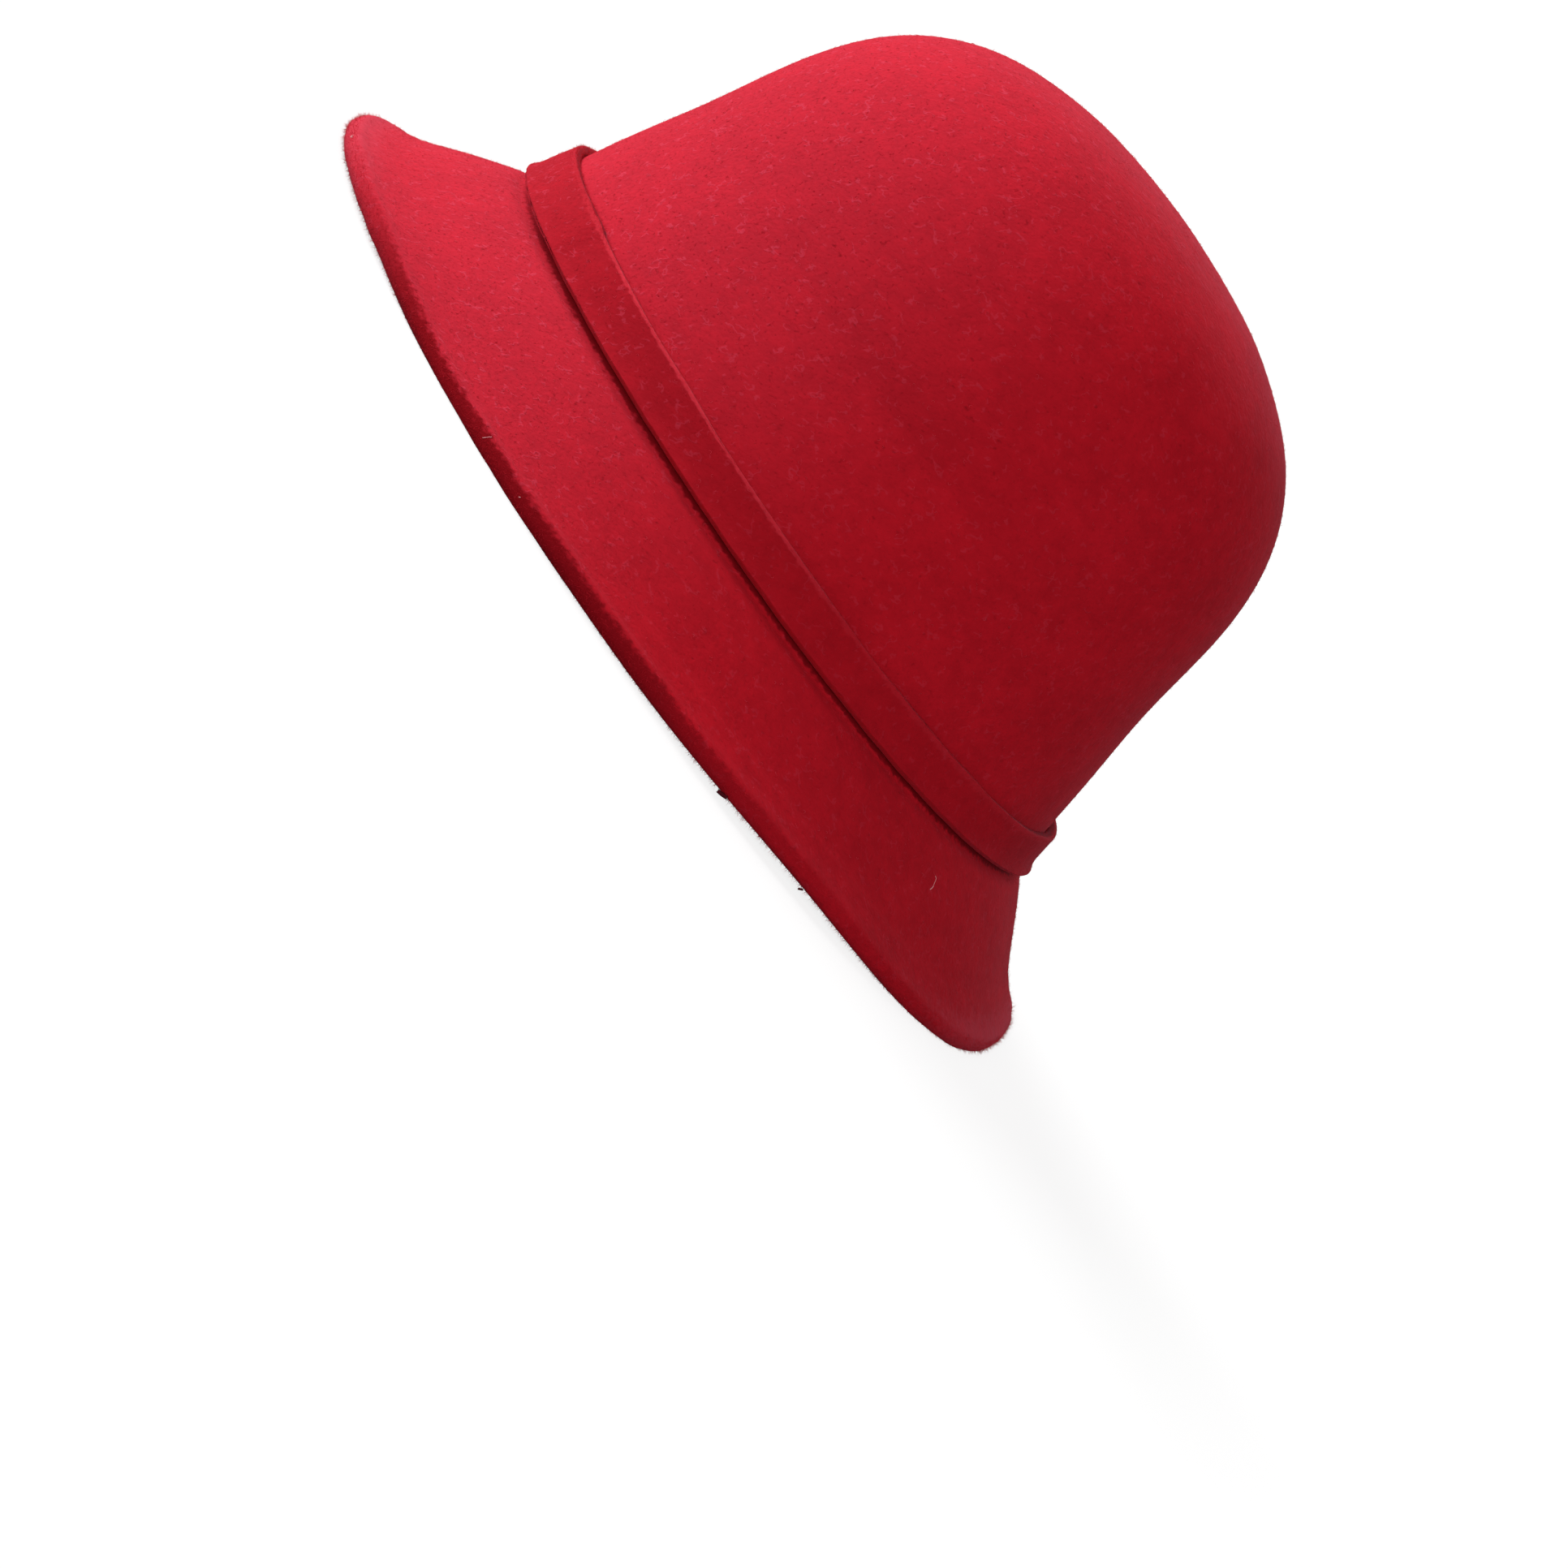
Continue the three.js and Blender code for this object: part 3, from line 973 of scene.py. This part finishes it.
# %% [markdown]
# ## Nap and curls
# Fibres stand out of real felt and soften its outline, and some lie on it in small curls.
# Geometry Nodes scatter both: points on the surface where a painted amount allows it, a thin
# hair on each point, leaned over at random, and all of it realized into one mesh. A hair is
# a needle of three sides, or a bow of a few segments for a curl, so that many fit.

# %% One hair
HAIR_SIDES = 3
CURL = {"Resolution": 4, "Start": (-0.4, 0.0, 0.0), "Middle": (0.1, 0.7, 0.25), "End": (0.4, -0.1, 0.05)}


def straight_hair(tree, radius):
    """A needle of length 1 along Z."""
    values = {"Vertices": HAIR_SIDES, "Radius Top": 0.0, "Radius Bottom": radius, "Depth": 1.0}
    return add_node(tree, "GeometryNodeMeshCone", values).outputs["Mesh"]


def curled_hair(tree, radius):
    """A curl about 1 long that lies on the XY plane and lifts off it in the middle."""
    bow = add_node(tree, "GeometryNodeCurveQuadraticBezier", CURL).outputs[0]
    values = {"Resolution": HAIR_SIDES, "Radius": radius}
    ring = add_node(tree, "GeometryNodeCurvePrimitiveCircle", values).outputs[0]
    values = {0: bow, 1: ring, "Fill Caps": True}
    return add_node(tree, "GeometryNodeCurveToMesh", values).outputs[0]


print("a curl has", CURL["Resolution"], "segments")

# %% The hair trees
HAIR_INPUTS = [
    ("Geometry", "NodeSocketGeometry", None),
    ("Amount", "NodeSocketString", ""),
    ("Density", "NodeSocketFloat", 0.5e6),
    ("Length", "NodeSocketFloat", 1.0 * MM),
    ("Thickness", "NodeSocketFloat", 0.05 * MM),
    ("Least Lean", "NodeSocketFloat", 0.7),
    ("Most Lean", "NodeSocketFloat", 1.45),
    ("Seed", "NodeSocketInt", 1),
    ("Material", "NodeSocketMaterial", None),
]
LEAN_DRAW, TURN_DRAW, LENGTH_DRAW = 10, 20, 30
SHORTEST, LONGEST = 0.4, 1.2


def scattered_points(tree, given):
    values = {"Name": given["Amount"]}
    amount = add_node(tree, "GeometryNodeInputNamedAttribute", values, data_type="FLOAT")
    density = math_node(tree, "MULTIPLY", amount.outputs["Attribute"], given["Density"])
    values = {"Mesh": given["Geometry"], "Density": density, "Seed": given["Seed"]}
    return add_node(tree, "GeometryNodeDistributePointsOnFaces", values).outputs


def make_hair_tree(name, make_hair):
    tree = new_group(name, "GeometryNodeTree", HAIR_INPUTS, [("Geometry", "NodeSocketGeometry")])
    given = add_node(tree, "NodeGroupInput").outputs

    def random(low, high, draw):
        # the sockets for a plain number are 2, 3 and 8, and it comes out of output 1
        values = {2: low, 3: high, 8: math_node(tree, "ADD", given["Seed"], draw)}
        return add_node(tree, "FunctionNodeRandomValue", values, data_type="FLOAT").outputs[1]

    points = scattered_points(tree, given)
    half = math_node(tree, "MULTIPLY", given["Thickness"], 0.5)
    radius = math_node(tree, "DIVIDE", half, given["Length"])
    lean = random(given["Least Lean"], given["Most Lean"], LEAN_DRAW)
    values = {"X": lean, "Z": random(0.0, 2 * math.pi, TURN_DRAW)}
    turn = add_node(tree, "ShaderNodeCombineXYZ", values).outputs[0]
    values = {"Rotation": points["Rotation"], "Rotate By": turn}
    leaned = add_node(tree, "FunctionNodeRotateRotation", values, rotation_space="LOCAL").outputs[0]
    values = {
        "Points": points["Points"],
        "Instance": make_hair(tree, radius),
        "Rotation": leaned,
        "Scale": math_node(tree, "MULTIPLY", given["Length"], random(SHORTEST, LONGEST, LENGTH_DRAW)),
    }
    placed = add_node(tree, "GeometryNodeInstanceOnPoints", values).outputs[0]
    real = add_node(tree, "GeometryNodeRealizeInstances", {"Geometry": placed}).outputs[0]
    values = {"Geometry": real, "Material": given["Material"]}
    dyed = add_node(tree, "GeometryNodeSetMaterial", values).outputs[0]
    add_node(tree, "NodeGroupOutput", {"Geometry": dyed})
    return tree


nap_tree = make_hair_tree("nap", straight_hair)
curl_tree = make_hair_tree("curls", curled_hair)
print("nap tree nodes:", len(nap_tree.nodes))

# %% [markdown]
# ## Growing the naps
# Each nap becomes a plain mesh of its own, with its own seed. The brim's edge and the band's
# top are rubbed, so their hairs are dense and stand up. Fibres that would reach below the
# floor are bent up by it. The painted amounts aren't needed on the hairs, so they come off.

# %% Grow the naps
EDGE_HAIR = {"Length": 1.3 * MM, "Thickness": 0.07 * MM, "Least Lean": 0.2, "Most Lean": 1.3}
BAND_HAIR = {"Length": 0.8 * MM}
BAND_TOP_HAIR = {"Length": 1.0 * MM, "Thickness": 0.06 * MM, "Least Lean": 0.3}
CURL_HAIR = {"Length": 0.9 * MM, "Thickness": 0.08 * MM, "Least Lean": -0.15, "Most Lean": 0.3}
NAPS = [
    # piece, tree, what it grows on, painted amount, hairs in a square metre, seed, fibre, other values
    ("crown_nap", nap_tree, hat, CROWN_NAP, 0.5e6, 3, loose_fibre, {}),
    ("brim_nap", nap_tree, hat, BRIM_NAP, 0.8e6, 4, loose_fibre, {}),
    ("edge_nap", nap_tree, hat, EDGE_NAP, 3.2e6, 5, loose_fibre, EDGE_HAIR),
    ("band_nap", nap_tree, band, BAND_NAP, 0.7e6, 6, loose_fibre, BAND_HAIR),
    ("band_top_nap", nap_tree, band, BAND_TOP_NAP, 4e6, 7, loose_fibre, BAND_TOP_HAIR),
    ("hat_curls", curl_tree, hat, CURLS, 0.13e6, 8, light_fibre, CURL_HAIR),
    ("band_curls", curl_tree, band, CURLS, 0.08e6, 9, light_fibre, CURL_HAIR),
]


def grow(name, tree, ground, amount, density, seed, fibre, others):
    hairs = bpy.data.objects.new(name, ground.data.copy())
    scene.collection.objects.link(hairs)
    modifier = hairs.modifiers.new("hairs", "NODES")
    modifier.node_group = tree
    named = {item.name: item.identifier for item in tree.interface.items_tree if item.in_out == "INPUT"}
    values = {"Amount": amount, "Density": density, "Seed": seed, "Material": fibre, **others}
    for title, value in values.items():
        modifier[named[title]] = value
    bake_modifiers(hairs)
    for spare in [a.name for a in hairs.data.attributes if a.name in amount_names]:
        hairs.data.attributes.remove(hairs.data.attributes[spare])
    points = mesh_points(hairs.data)
    press_on_floor(points)
    write_points(hairs, points)
    print(name, len(hairs.data.polygons), "faces")
    return hairs


naps = [(grow(*nap), nap[2]) for nap in NAPS]

# %% [markdown]
# ## Lint
# A few loose threads have settled on the felt, and at the brim's edge hang two dark pills of
# rubbed wool. Each is a thin tube through a few points in millimetres, because a curve with a
# bevel is the quickest way to a thread. Threads lie on the felt, so their points are first
# moved onto its surface.

# %% Lint
THREADS = [
    # thickness in millimetres, and the points
    (0.30, [(26.8, -128.0, 4.7), (26.8, -128.0, 4.2), (27.3, -127.7, 3.9), (27.8, -127.5, 4.3)]),
    (0.16, [(104.2, -49.3, 4.1), (104.5, -49.8, 3.4), (104.7, -50.3, 2.4)]),
    (0.14, [(60.2, 89.0, 21.6), (59.6, 89.6, 21.5), (60.6, 90.1, 20.6), (61.1, 90.6, 20.0)]),
    (0.26, [(61.1, 90.6, 20.0), (61.6, 90.8, 19.6), (62.2, 90.7, 19.2)]),
    (0.22, [(110.3, -34.9, 2.4), (110.3, -34.6, 2.7)]),
]
PILLS = [
    (0.95, [(112.2, 43.1, 1.3), (112.1, 44.4, 1.5), (111.8, 45.6, 2.0)]),
    (0.50, [(101.0, 71.5, 1.3), (100.8, 72.4, 2.1)]),
]
LINT_LIFT = 0.08 * MM
LINT_STEPS = 4
SMOOTHEST = 3


def on_felt(point):
    found, place, normal, _ = hat.closest_point_on_mesh(point)
    return place + normal * LINT_LIFT


def new_tube_curve(name, material):
    curve = bpy.data.curves.new(name, "CURVE")
    curve.dimensions = "3D"
    curve.bevel_depth = MM / 2
    curve.bevel_resolution = 1
    curve.resolution_u = LINT_STEPS
    curve.use_fill_caps = True
    curve.materials.append(material)
    return curve


def lay_threads(name, material, threads, resting):
    curve = new_tube_curve(name, material)
    for thickness, places in threads:
        points = [Vector(place) * MM for place in places]
        if resting:
            points = [on_felt(point) for point in points]
        spline = curve.splines.new("NURBS")
        spline.points.add(len(points) - 1)
        for corner, point in zip(spline.points, points):
            corner.co = (*point, 1)
            corner.radius = thickness
        spline.order_u = min(SMOOTHEST, len(points))
        spline.use_endpoint_u = True
    tubes = bpy.data.objects.new(name + " curve", curve)
    scene.collection.objects.link(tubes)
    piece = bpy.data.objects.new(name, bpy.data.meshes.new_from_object(evaluated(tubes)))
    bpy.data.objects.remove(tubes)
    scene.collection.objects.link(piece)
    print(name, len(piece.data.polygons), "faces")
    return piece


threads = lay_threads("threads", pale_lint, THREADS, resting=True)
pills = lay_threads("pills", dark_lint, PILLS, resting=False)

# %% [markdown]
# ## Fasten the pieces to the imported model
# The smooth hat and band stand for the imported solids. Everything rides on the one body that
# the hat has.

# %% Ride on the imported body
for piece, node, slot in ((hat, "felt_body", "red_felt"), (band, "band", "band_felt")):
    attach(piece, "root")
    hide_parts(node)
for piece, ground in (*naps, (threads, hat), (pills, hat)):
    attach(piece, "root")
print("pieces fastened:", 2 + len(naps) + 2)
